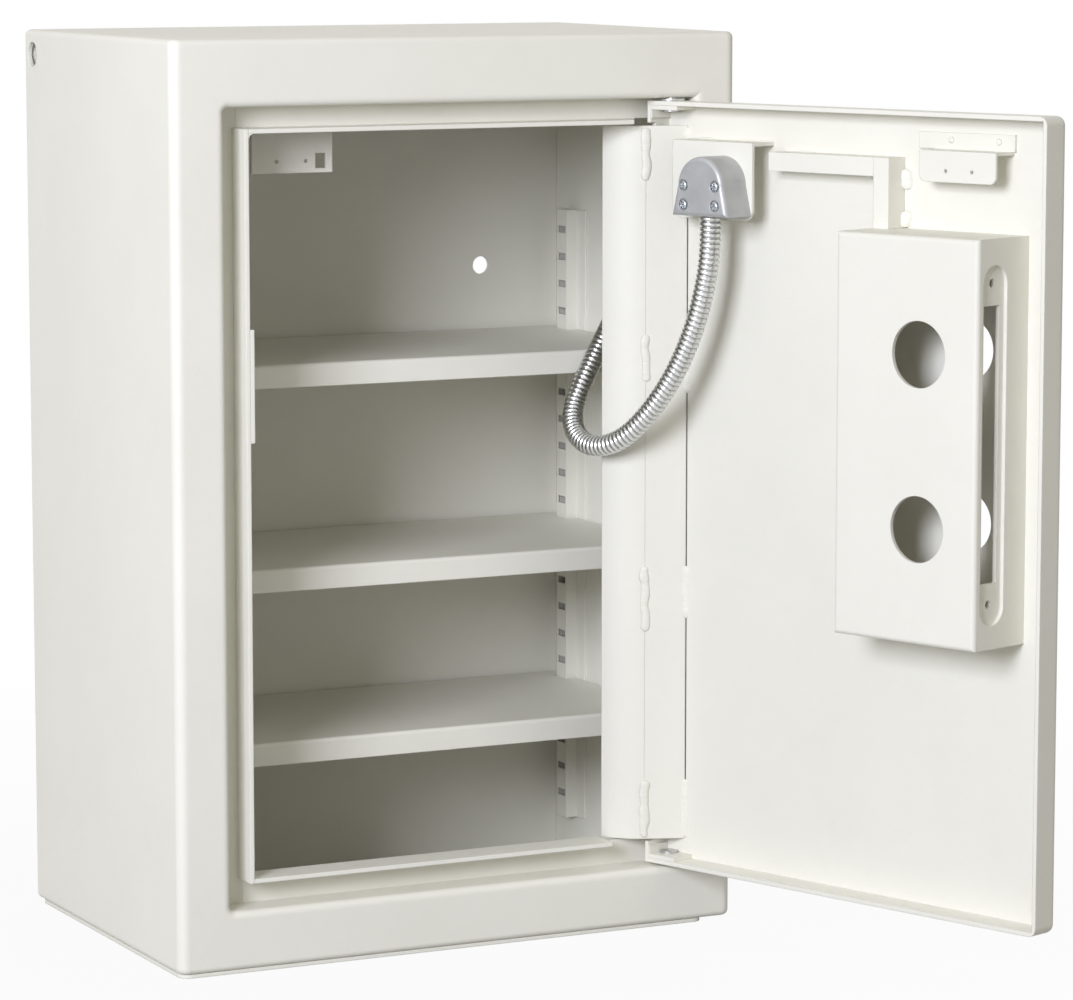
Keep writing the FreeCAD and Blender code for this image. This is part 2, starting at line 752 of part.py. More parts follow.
def make_hinge_bush(label, frame_face, sign):
    """Flanged bush in a lip of the door that turns on the pivot pin."""
    bore = f"({PIN_HOLE} / 2)"
    barrel = "sizes.bush_diameter / 2"
    flange = "sizes.bush_flange / 2"
    under = "sizes.bush_thrust"
    seat = "sizes.door_gap"
    top = "(sizes.door_gap + 2 * sizes.sheet + sizes.bush_ring)"
    outline = (
        (bore, under),
        (flange, under),
        (flange, seat),
        (barrel, seat),
        (barrel, top),
        (bore, top),
    )
    body = turn(label, outline)
    flip = Rotation(Vector(1, 0, 0), 0 if sign > 0 else 180)
    place = Vector(value(PIVOT_X), value(PIVOT_Y), value(frame_face))
    return swing(body, Placement(place, flip))


def make_hinge_plate(label, low, high, tab_low, tab_high):
    """Stiffener in a corner of the tray with a bent tab on the hinge side."""
    body = new_body(label)
    right = f"({DOOR_RIGHT} - sizes.sheet)"
    left = f"({right} - sizes.hinge_plate_length)"
    add_box(body, left, right, DOOR_PLATE, DOOR_EDGE, low, high)
    tab = f"({right} - sizes.hinge_tab_sheet)"
    add_box(body, tab, right, DOOR_PLATE, DOOR_EDGE, tab_low, tab_high)
    drill(body, "XY", low, high, [(PIVOT_X, PIVOT_Y)], BUSH_HOLE)
    return swing(body)


def make_door_panel():
    """Folded tray with rounded outer bends, bush holes in its lips and two holes for the lock's spindles."""
    body = new_body("door_panel")
    add_box(body, DOOR_LEFT, DOOR_RIGHT, FRONT, DOOR_EDGE, DOOR_LOW, DOOR_HIGH)
    round_edges(
        body,
        "sizes.door_corner",
        lambda box: lies_at(box.XMin, box.XMax, DOOR_LEFT) and box.ZLength < TOLERANCE,
    )
    round_edges(body, "sizes.door_bend", lambda box: lies_at(box.YMin, box.YMax, FRONT))
    inside = (f"({DOOR_LEFT} + sizes.sheet)", f"({DOOR_RIGHT} - sizes.sheet)")
    heights = (f"({DOOR_LOW} + sizes.sheet)", f"({DOOR_HIGH} - sizes.sheet)")
    cut_box(body, *inside, DOOR_PLATE, DOOR_EDGE, *heights)
    notch_low = f"({HOOK_LOW} - sizes.hook_clearance)"
    notch_high = f"({HOOK_HIGH} + sizes.hook_clearance)"
    notch_front = f"({FRONT} + sizes.hinge_lip)"
    cut_box(body, inside[1], DOOR_RIGHT, notch_front, DOOR_EDGE, notch_low, notch_high)
    pivot = [(PIVOT_X, PIVOT_Y)]
    drill(body, "XY", DOOR_LOW, heights[0], pivot, BUSH_HOLE)
    drill(body, "XY", heights[1], DOOR_HIGH, pivot, BUSH_HOLE)
    drill(body, "XZ", FRONT, DOOR_PLATE, LOCK_HOLES, "sizes.door_hole")
    return swing(body)


def hook_point(radius, angle):
    """Place on the hook's arc, in plan on the closed door."""
    x = f"({DOOR_RIGHT} + sizes.hook_reach - {radius} * cos({angle}))"
    y = f"({FRONT} + sizes.hook_centre + {radius} * sin({angle}))"
    return x, y


def make_hook_web():
    """Slanted sheet from the door plate to the hook's curved flange."""
    body = new_body("hook_web")
    start = "(90 - sizes.hook_turn)"
    outer = hook_point("sizes.hook_radius", start)
    inner = hook_point("(sizes.hook_radius - sizes.sheet)", start)
    outer_foot = f"({outer[0]} - ({outer[1]} - {DOOR_PLATE}) / tan(sizes.hook_turn))"
    inner_foot = f"({inner[0]} - ({inner[1]} - {DOOR_PLATE}) / tan(sizes.hook_turn))"
    outline = ((outer_foot, DOOR_PLATE), outer, inner, (inner_foot, DOOR_PLATE))
    add(body, "XY", HOOK_LOW, HOOK_HIGH, lambda sketch: draw_polygon(sketch, outline))
    return swing(body)


def make_hook_flange():
    """Curved flange that lies behind the hinge-side stile when the door is closed."""
    centre = hook_point("0", "0")
    parts = []
    radii = (("outer", "sizes.hook_radius"), ("inner", "sizes.hook_radius - sizes.sheet"))
    for name, radius in radii:
        sector = doc.addObject("Part::Cylinder", f"hook_{name}")
        sector.setExpression("Radius", radius)
        sector.setExpression("Height", f"{HOOK_HIGH} - {HOOK_LOW}")
        sector.setExpression("Angle", "sizes.hook_turn")
        place = Vector(value(centre[0]), value(centre[1]), value(HOOK_LOW))
        sector.Placement = Placement(place, Rotation(Vector(0, 0, 1), 90))
        parts.append(sector)
    flange = doc.addObject("Part::Cut", "hook_flange")
    flange.Base = parts[0]
    flange.Tool = parts[1]
    doc.recompute()
    return swing(flange)


def make_cable_bracket():
    """Welded angle on the door that carries the cap of the cable loop."""
    body = new_body("cable_bracket")
    face = f"({FRONT} + sizes.bracket_standoff)"
    behind = f"({face} - sizes.bracket_sheet)"
    low = f"({BRACKET_TOP} - sizes.bracket_height)"
    under = f"({BRACKET_TOP} - sizes.bracket_sheet)"
    add_box(body, BRACKET_LEFT, BRACKET_RIGHT, behind, face, low, BRACKET_TOP)
    add_box(body, BRACKET_LEFT, BRACKET_RIGHT, DOOR_PLATE, face, under, BRACKET_TOP)
    round_edges(
        body,
        "sizes.bracket_corner",
        lambda box: lies_at(box.ZMin, box.ZMax, low) and box.XLength < TOLERANCE,
    )
    return swing(body)


def draw_cap(sketch, inset):
    """Outline of a cap: straight foot, leaning sides and a round top."""
    half = f"(sizes.cap_foot / 2 - {inset})"
    shoulder = f"(sizes.cap_shoulder / 2 - {inset})"
    height = "sizes.cap_shoulder_height"
    low = f"({inset})"
    crown = f"(sizes.cap_height - {inset})"
    corners = ((f"(-{shoulder})", height), (f"(-{half})", low), (half, low), (shoulder, height))
    places = [Vector(value(x), value(y), 0) for x, y in corners]
    for index in range(3):
        sketch.addGeometry(Part.LineSegment(places[index], places[index + 1]), False)
    arc = Part.Arc(places[3], Vector(0, value(crown), 0), places[0])
    sketch.addGeometry(arc, False)
    for index in range(3):
        sketch.addConstraint(Sketcher.Constraint("Coincident", index, 2, index + 1, 1))
    sketch.addConstraint(Sketcher.Constraint("Coincident", 3, 2, 0, 1))
    for index in range(3):
        pin_point(sketch, index, 1, corners[index])
    pin_point(sketch, 2, 2, corners[3])
    rise = f"({crown} - {height})"
    radius = f"(({shoulder} * {shoulder} + {rise} * {rise}) / (2 * {rise}))"
    index = sketch.addConstraint(Sketcher.Constraint("Radius", 3, value(radius)))
    sketch.setExpression(f"Constraints[{index}]", radius)


def cap_screw_places():
    """Places of the four screws of a cap, across and up."""
    spread = "sizes.cap_screw_spread / 2"
    heights = ("sizes.cap_screw_low", "sizes.cap_screw_high")
    return [(f"({sign}{spread})", height) for sign in ("-", "") for height in heights]


def make_cable_cap(label):
    """Cast cap with a rounded front edge and sunk screw seats, hollow behind, with a hole for the hose."""
    body = new_body(label)
    front = "sizes.cap_depth"
    inner = "(sizes.cap_depth - sizes.cap_wall)"
    add(body, "XZ", "0", front, lambda sketch: draw_cap(sketch, "0"))
    round_edges(body, "sizes.cap_edge", lambda box: lies_at(box.YMin, box.YMax, front))
    cut(body, "XZ", "0", inner, lambda sketch: draw_cap(sketch, "sizes.cap_wall"))
    axis = ("0", "sizes.hose_axis")
    drill(body, "XY", "0", "sizes.cap_wall", [axis], "sizes.hose_bore")
    hole = "(sizes.screw_shank + 2 * sizes.screw_clearance)"
    drill(body, "XZ", inner, front, cap_screw_places(), hole)
    drill(body, "XZ", CAP_SEAT, front, cap_screw_places(), "sizes.cap_seat")
    return body


def make_cap_screws(label, place):
    """Four pan-head screws of a cap."""
    head = "sizes.screw_head / 2"
    shank = "sizes.screw_shank / 2"
    height = "sizes.screw_head_height"
    outline = (
        ("0", "(-sizes.screw_length)"),
        (shank, "(-sizes.screw_length)"),
        (shank, "0"),
        (head, "0"),
        (head, f"({height} / 2)"),
        ("sizes.screw_crown / 2", height),
        ("0", height),
    )
    screw = turn(f"{label}_one", outline)
    facing = Rotation(Vector(1, 0, 0), -90)
    copies = []
    for across, up in cap_screw_places():
        seat = Vector(value(across), value(CAP_SEAT), value(up))
        copy = screw.Shape.copy()
        copy.Placement = place.multiply(Placement(seat, facing))
        copies.append(copy)
    return group(label, copies, screw)


def make_duct_horizontal():
    """Channel on the door plate for the cable from the bracket."""
    body = new_body("duct_horizontal")
    right = f"({BRACKET_LEFT} - sizes.duct_gap)"
    under = f"({DUCT_FACE} - sizes.duct_sheet)"
    low = f"({DUCT_LOW} + sizes.duct_sheet)"
    high = f"({DUCT_HIGH} - sizes.duct_sheet)"
    add_box(body, DUCT_BEND, right, DOOR_PLATE, DUCT_FACE, DUCT_LOW, DUCT_HIGH)
    cut_box(body, DUCT_BEND, right, DOOR_PLATE, under, low, high)
    return swing(body)


def make_duct_vertical():
    """Channel from the horizontal duct down to the lock box."""
    body = new_body("duct_vertical")
    left = f"({DUCT_BEND} - sizes.duct_upright_width)"
    inner_left = f"({left} + sizes.duct_sheet)"
    inner_right = f"({DUCT_BEND} - sizes.duct_sheet)"
    under = f"({DUCT_FACE} - sizes.duct_sheet)"
    low = f"({DUCT_LOW} + sizes.duct_sheet)"
    high = f"({DUCT_HIGH} - sizes.duct_sheet)"
    add_box(body, left, DUCT_BEND, DOOR_PLATE, DUCT_FACE, LOCK_HIGH, DUCT_HIGH)
    cut_box(body, inner_left, inner_right, DOOR_PLATE, under, LOCK_HIGH, high)
    cut_box(body, inner_right, DUCT_BEND, DOOR_PLATE, under, low, high)
    return swing(body)


def make_door_contact_bracket():
    """Z-shaped bracket whose hanging plate faces the cabinet's contact bracket."""
    body = new_body("door_contact_bracket")
    left = f"({CONTACT_LEFT} - sizes.mate_overhang)"
    right = f"({left} + sizes.mate_width)"
    high = f"({DOOR_HIGH} - sizes.mate_flange_drop)"
    shelf = f"({high} - sizes.mate_flange_height)"
    under = f"({shelf} - sizes.contact_sheet)"
    low = f"({CONTACT_LOW} + sizes.mate_plate_lift)"
    foot = f"({DOOR_PLATE} + sizes.contact_sheet)"
    face = f"({FRONT} + sizes.mate_deep)"
    behind = f"({face} - sizes.contact_sheet)"
    plate_left = f"({CONTACT_LEFT} - sizes.mate_plate_overhang)"
    plate_right = f"({plate_left} + sizes.mate_plate_width)"
    add_box(body, left, right, DOOR_PLATE, foot, shelf, high)
    add_box(body, plate_left, plate_right, DOOR_PLATE, face, under, shelf)
    add_box(body, plate_left, plate_right, behind, face, low, shelf)
    round_edges(
        body,
        "sizes.mate_corner",
        lambda box: lies_at(box.ZMin, box.ZMax, low) and box.XLength < TOLERANCE,
    )
    drill(body, "XZ", behind, face, CONTACT_HOLES, "sizes.contact_hole")
    return swing(body)


def make_lock_box():
    """Cover over the lock with two round holes, a slot in its free side and a cable notch on top."""
    body = new_body("lock_box")
    add_box(body, LOCK_LEFT, LOCK_RIGHT, DOOR_PLATE, LOCK_FACE, LOCK_LOW, LOCK_HIGH)
    round_edges(body, "sizes.lock_bend", lambda box: lies_at(box.YMin, box.YMax, LOCK_FACE))
    inside = f"({LOCK_FACE} - sizes.sheet)"
    low = f"({LOCK_LOW} + sizes.sheet)"
    high = f"({LOCK_HIGH} - sizes.sheet)"
    cut_box(body, LOCK_INNER, f"({LOCK_RIGHT} - sizes.sheet)", DOOR_PLATE, inside, low, high)
    drill(body, "XZ", inside, LOCK_FACE, LOCK_HOLES, "sizes.lock_hole")
    half = "sizes.lock_slot_width / 2"
    near = f"({SLOT_DEEP} - {half})"
    far = f"({SLOT_DEEP} + {half})"
    ends = [(SLOT_DEEP, f"({SLOT_LOW} + {half})"), (SLOT_DEEP, f"({SLOT_HIGH} - {half})")]
    cut_box(body, LOCK_LEFT, LOCK_INNER, near, far, ends[0][1], ends[1][1])
    drill(body, "YZ", LOCK_LEFT, LOCK_INNER, ends, "sizes.lock_slot_width")
    notch_right = f"({DUCT_BEND} - sizes.duct_sheet)"
    notch_left = f"({notch_right} - sizes.lock_notch)"
    notch_face = f"({DUCT_FACE} - sizes.duct_sheet)"
    cut_box(body, notch_left, notch_right, DOOR_PLATE, notch_face, high, LOCK_HIGH)
    return swing(body)


def make_lock_mounting_plate():
    """Plate behind the side slot, with the lock's screw holes and a window for its bolts."""
    body = new_body("lock_mounting_plate")
    inner = f"({LOCK_INNER} + sizes.sheet)"
    front = f"({DOOR_PLATE} + sizes.mount_plate_margin)"
    back = f"({LOCK_FACE} - sizes.sheet)"
    low = f"({LOCK_LOW} + sizes.sheet + sizes.mount_plate_margin)"
    high = f"({LOCK_HIGH} - sizes.sheet - sizes.mount_plate_margin)"
    add_box(body, LOCK_INNER, inner, front, back, low, high)
    half = "sizes.mount_window_width / 2"
    near = f"({SLOT_DEEP} - {half})"
    far = f"({SLOT_DEEP} + {half})"
    window_low = f"({SCREW_LOW} + sizes.mount_window_bottom)"
    window_high = f"({SCREW_HIGH} - sizes.mount_window_top)"
    cut_box(body, LOCK_INNER, inner, near, far, window_low, window_high)
    screws = [(SLOT_DEEP, SCREW_LOW), (SLOT_DEEP, SCREW_HIGH)]
    drill(body, "YZ", LOCK_INNER, inner, screws, "sizes.mount_screw")
    return swing(body)


def hose_line():
    """Straight runs and tangent arcs through the route, with the radius of each arc."""
    points = [Vector(*point) for point in HOSE_ROUTE]
    edges = []
    radii = []
    start = points[0]
    for before, corner, after in zip(points, points[1:], points[2:]):
        inward = (corner - before).normalize()
        outward = (after - corner).normalize()
        half = inward.getAngle(outward) / 2
        trim = RUN_SHARE * min((corner - before).Length, (after - corner).Length)
        radius = trim / math.tan(half)
        bisector = (outward - inward).normalize()
        middle = corner + bisector * (radius / math.cos(half) - radius)
        first = corner - inward * trim
        last = corner + outward * trim
        edges.append(Part.LineSegment(start, first).toShape())
        edges.append(Part.Arc(first, middle, last).toShape())
        radii.append(radius)
        start = last
    edges.append(Part.LineSegment(start, points[-1]).toShape())
    return edges, radii


def hose_frames(edges, spacing):
    """Places and directions along the line, about one spacing apart."""
    total = sum(edge.Length for edge in edges)
    count = 8 * round(total / spacing / 8)
    frames = []
    for index in range(count + 1):
        distance = total * index / count
        for edge in edges:
            if distance <= edge.Length + TOLERANCE:
                break
            distance -= edge.Length
        parameter = edge.getParameterByLength(min(distance, edge.Length))
        frames.append((edge.valueAt(parameter), edge.tangentAt(parameter)))
    return frames


def ring(place, direction, radius):
    """Circle square to the line, turned so that its seam keeps to one side."""
    across = direction.cross(Vector(1, 0, 0)).normalize()
    turned = Rotation(direction.cross(across), across, direction, "ZXY")
    circle = Part.Circle(Vector(), Vector(0, 0, 1), radius).toShape()
    circle.Placement = Placement(place, turned)
    return Part.Wire([circle])


def make_conduit():
    """Hose with a bore and a row of ribs along its line."""
    edges, radii = hose_line()
    outer = value("sizes.hose_diameter") / 2
    valley = outer - value("sizes.hose_groove")
    frames = hose_frames(edges, value("sizes.hose_pitch") / 4)
    sections = []
    for index, (place, direction) in enumerate(frames):
        radius = outer if index % 4 in (1, 2) else valley
        sections.append(ring(place, direction, radius))
    ribbed = Part.makeLoft(sections, True, True)
    inner = value("sizes.hose_bore") / 2
    bore = Part.makeLoft([ring(place, direction, inner) for place, direction in frames[::8]], True, True)
    node = doc.addObject("Part::Feature", "conduit")
    node.Label = "conduit"
    node.Shape = ribbed.cut(bore).Solids[0]
    node.Placement = Placement()
    length = sum(edge.Length for edge in edges)
    area = math.pi * (((outer + valley) / 2) ** 2 - inner**2)
    print("conduit length", round(length, 1), "radii", [round(radius) for radius in radii])
    print("conduit volume over section times length", round(node.Shape.Volume / (area * length), 3))
    return node


PATTERNS = []
nodes = [
    make_body_shell(),
    make_back_panel(),
    make_base_plate(),
    make_rebate_left(),
    make_rebate_top(),
    make_rebate_bottom(),
    make_strike_plate(),
    make_cabinet_contact_bracket(),
    make_shelf_rail("shelf_rail_rear_right", RAIL_REAR, ""),
    make_shelf_rail("shelf_rail_front_right", "sizes.rail_front", ""),
    make_shelf_rail("shelf_rail_rear_left", RAIL_REAR, "-"),
    make_shelf_rail("shelf_rail_front_left", "sizes.rail_front", "-"),
]
for level, slot in SHELF_SLOTS.items():
    nodes.append(make_shelf(f"shelf_{level}", slot))
    nodes.append(make_shelf_clips(f"shelf_clips_{level}", slot))
nodes += [
    make_hinge_pin("hinge_pin_upper", OPEN_HIGH, -1),
    make_hinge_pin("hinge_pin_lower", OPEN_LOW, 1),
    make_hinge_bush("hinge_bush_upper", OPEN_HIGH, -1),
    make_hinge_bush("hinge_bush_lower", OPEN_LOW, 1),
    make_door_panel(),
    make_hook_web(),
    make_hook_flange(),
    make_cable_bracket(),
    make_duct_horizontal(),
    make_duct_vertical(),
    make_door_contact_bracket(),
    make_lock_box(),
    make_lock_mounting_plate(),
]
LIP_INNER_LOW = f"({DOOR_LOW} + sizes.sheet)"
LIP_INNER_HIGH = f"({DOOR_HIGH} - sizes.sheet)"
nodes.append(
    make_hinge_plate(
        "hinge_plate_lower",
        LIP_INNER_LOW,
        f"({LIP_INNER_LOW} + sizes.sheet)",
        LIP_INNER_LOW,
        f"({LIP_INNER_LOW} + sizes.hinge_plate_tab)",
    )
)
nodes.append(
    make_hinge_plate(
        "hinge_plate_upper",
        f"({LIP_INNER_HIGH} - sizes.sheet)",
        LIP_INNER_HIGH,
        f"({LIP_INNER_HIGH} - sizes.hinge_plate_tab)",
        LIP_INNER_HIGH,
    )
)

# The cap on the door faces into the cabinet, and its twin on the wall faces across it.
door_seat = Vector(
    value(from_hinge("sizes.cap_from_hinge")),
    value(f"{FRONT} + sizes.bracket_standoff"),
    value(CAP_LOW),
)
on_door = open_door().multiply(Placement(door_seat, Rotation()))
wall_seat = Vector(value(INSIDE), value("sizes.cap_wall_y"), value(CAP_LOW))
on_wall = Placement(wall_seat, Rotation(Vector(0, 0, 1), 90))
for label, place in (("door", on_door), ("wall", on_wall)):
    cap = make_cable_cap(f"{label}_cable_cap")
    cap.Placement = place
    nodes.append(cap)
    nodes.append(make_cap_screws(f"{label}_cap_screws", place))
nodes.append(make_conduit())
doc.recompute()

for item in doc.Objects:
    if "Invalid" in item.State or "Error" in item.State:
        raise RuntimeError(f"{item.Label} did not build")
os.makedirs("parts", exist_ok=True)
for node in nodes:
    if node.Shape.isNull() or not node.Shape.isValid():
        raise RuntimeError(f"{node.Label} has no valid shape")
    node.Shape.exportStep(f"parts/{node.Label}.step")
    box = node.Shape.BoundBox
    lengths = [round(length, 1) for length in (box.XLength, box.YLength, box.ZLength)]
    print(node.Label, len(node.Shape.Solids), lengths)
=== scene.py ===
"""Looks of a security cabinet: coated sheet, cast cable caps, ribbed conduit, welds and screws."""

import json
import math

import bmesh
import bpy
from mathutils import Matrix, Vector, noise

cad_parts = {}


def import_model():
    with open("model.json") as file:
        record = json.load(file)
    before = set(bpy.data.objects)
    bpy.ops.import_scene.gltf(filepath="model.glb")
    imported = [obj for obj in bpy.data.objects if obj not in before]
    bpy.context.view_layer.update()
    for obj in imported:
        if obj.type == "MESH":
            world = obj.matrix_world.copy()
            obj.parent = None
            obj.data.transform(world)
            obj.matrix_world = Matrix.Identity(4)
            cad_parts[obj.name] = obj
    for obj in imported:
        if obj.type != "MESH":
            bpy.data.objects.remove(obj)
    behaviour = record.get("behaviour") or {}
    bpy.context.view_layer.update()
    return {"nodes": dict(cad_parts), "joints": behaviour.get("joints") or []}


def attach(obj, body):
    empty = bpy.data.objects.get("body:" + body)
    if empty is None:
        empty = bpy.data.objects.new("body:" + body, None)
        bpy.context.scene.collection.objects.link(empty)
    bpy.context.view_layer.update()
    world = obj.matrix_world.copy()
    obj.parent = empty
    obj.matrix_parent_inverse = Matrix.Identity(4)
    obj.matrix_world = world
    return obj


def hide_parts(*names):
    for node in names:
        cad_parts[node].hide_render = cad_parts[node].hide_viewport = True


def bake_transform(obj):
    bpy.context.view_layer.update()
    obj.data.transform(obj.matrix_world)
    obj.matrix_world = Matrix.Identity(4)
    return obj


MM = 0.001

# Camera: turned to the left of the front, a little above, at a long focal length.
CAMERA_AZIMUTH = math.radians(26.486)
CAMERA_ELEVATION = math.radians(7.539)
CAMERA_DISTANCE = 3.1704
CAMERA_TARGET = Vector((0.0960, -0.0533, 0.2934))
CAMERA_LENS = 152.16
CAMERA_SENSOR = 36.0

# Door at rest: it has turned by REST_ANGLE about the pivot from the closed place.
REST_ANGLE = math.radians(109.5)
DOOR_HINGE_EDGE = 173.5 * MM
DOOR_OUTER_FACE = -135 * MM

# Conduit, from the door cap to the wall cap, in metres.
CONDUIT_ROUTE = (
    (0.15636, -0.19412, 0.4990),
    (0.15636, -0.19412, 0.4730),
    (0.1540, -0.1900, 0.4480),
    (0.1505, -0.1840, 0.4240),
    (0.1445, -0.1735, 0.3970),
    (0.1365, -0.1600, 0.3730),
    (0.1280, -0.1455, 0.3540),
    (0.1215, -0.1335, 0.3435),
    (0.1155, -0.1200, 0.3375),
    (0.1110, -0.1045, 0.3365),
    (0.1100, -0.0890, 0.3405),
    (0.1125, -0.0755, 0.3490),
    (0.1185, -0.0662, 0.3610),
    (0.1275, -0.0625, 0.3760),
    (0.1385, -0.0585, 0.3920),
    (0.1500, -0.0530, 0.4065),
    (0.1615, -0.0450, 0.4190),
    (0.1720, -0.0345, 0.4300),
    (0.1810, -0.0240, 0.4425),
    (0.1880, -0.0160, 0.4575),
    (0.1920, -0.0110, 0.4760),
    (0.1920, -0.0110, 0.4990),
)
CONDUIT_RADIUS = 7.25 * MM
CONDUIT_PITCH = 3.6 * MM
CONDUIT_GROOVE = 0.9 * MM
CONDUIT_SIDES = 28
# One rib of the conduit: share of the pitch and share of the groove's depth.
RIB_PROFILE = (
    (0.00, 1.0),
    (0.10, 0.95),
    (0.20, 0.35),
    (0.32, 0.06),
    (0.50, 0.0),
    (0.68, 0.06),
    (0.80, 0.35),
    (0.90, 0.95),
)

# Cap screws: pan heads with a cross recess, at their places on a cap's face.
SCREW_RADIUS = 3.2 * MM
SCREW_HEIGHT = 2.4 * MM
SCREW_EDGE = 0.9 * MM
SCREW_DOME = 0.5 * MM
SCREW_RINGS = 20
SCREW_SIDES = 72
SCREW_FIRST_TURN = math.radians(35)
SCREW_NEXT_TURN = math.radians(17)
RECESS_REACH = 1.9 * MM
RECESS_HALF = 0.5 * MM
RECESS_WALL = 0.3 * MM
RECESS_DEPTH = 1.2 * MM
CAP_SCREWS = [(across * MM, up * MM) for across in (-14, 14) for up in (7.5, 20.5)]
CAP_FOOT = 499 * MM
DOOR_CAP_FROM_HINGE = 72.5 * MM
DOOR_CAP_SEAT = 48.8 * MM
WALL_CAP_SEAT = 181.2 * MM
WALL_CAP_Y = -11 * MM

# Weld beads on the door, each from one end to the other, in millimetres: distance from the hinge
# edge, distance from the outer face, height. Those of a group stand out the same way.
SEAM = (1.8, 25.0)
FOOT = (20.25, 3.0)
SEAM_HEIGHTS = ((522, 552), (384, 410), (210, 249), (64.5, 99))
FOOT_HEIGHTS = ((543, 552), (376, 406), (219, 249), (64.5, 99))
WELDS = (
    ((0.77, 0.64, 0.0), 3.3, [((*SEAM, low), (*SEAM, high)) for low, high in SEAM_HEIGHTS]),
    ((0.42, 0.91, 0.0), 3.5, [((*FOOT, low), (*FOOT, high)) for low, high in FOOT_HEIGHTS]),
    ((0.0, 0.8, 0.6), 2.0, [((28, 3, 548), (42, 3, 548)), ((72, 3, 548), (96, 3, 548))]),
    ((0.0, 0.8, 0.6), 1.4, [((122, 3, 542.5), (132, 3, 542.5)), ((185, 3, 542.5), (193, 3, 542.5))]),
    ((0.0, 0.8, -0.6), 1.8, [((112, 3, 530), (140, 3, 530))]),
    ((0.5, 0.85, 0.0), 4.8, [((214, 4, 526), (214, 4, 530)), ((214, 4, 501), (214, 4, 503))]),
    ((0.0, 1.0, 0.0), 2.2, [((252, 5, 555), (252.4, 5, 555)), ((291, 5, 555), (291.4, 5, 555))]),
)
WELD_STEP = 0.6 * MM
WELD_SIDES = 12
WELD_FLATNESS = 0.48
# Ripples of a bead: their pitch, and their depth as a share of the bead's half width.
WELD_RIPPLE = 2.2 * MM
WELD_RIPPLE_DEPTH = 0.05
# Unevenness of a bead: (share of the half width, wavelength in half widths).
WELD_WANDER = (0.4, 3.0)
WELD_LUMPS = ((0.28, 1.8), (0.1, 0.5))
WELD_THINNEST = 0.02

# Painted shade along the foot of the hook's web, between its welds: a dark strip where the open gap
# lies in shade.
GAP_HALF = 0.3 * MM

# Painted shade in the cavity behind each shelf rail, a dark strip: distance of the rails from the
# middle, half width, ends.
CAVITY_X = 204.9 * MM
CAVITY_ROWS = (104 * MM, 12 * MM)
CAVITY_HALF = 6.3 * MM
CAVITY_ENDS = (32 * MM, 483 * MM)
STRIP_STEP = 4 * MM
STRIP_THICKNESS = 0.15 * MM
STRIP_WAVE = 0.15
STRIP_WAVES_PER_METRE = 300

# Rounded corners of the frame and of the rim on the lock side.
CORNER_RADIUS = 4 * MM
CORNER_SEAT = 0.05 * MM
CORNER_STEPS = 12
FRAME_FACE = -135 * MM
FRAME_BACK = -108.6 * MM
FRAME_BEND = 5 * MM
FRAME_LEFT = -171 * MM
FRAME_ENDS = ((575.5 * MM, 1), (42 * MM, -1))
RIM_FACE = -130 * MM
RIM_BACK = -105.6 * MM
RIM_CORNER = (-152 * MM, 558 * MM)
SHARP_ANGLE = math.radians(40)

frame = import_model()
scene = bpy.context.scene
nodes = frame["nodes"]
hinge = next(joint for joint in frame["joints"] if joint["name"] == "door_hinge")


# Materials


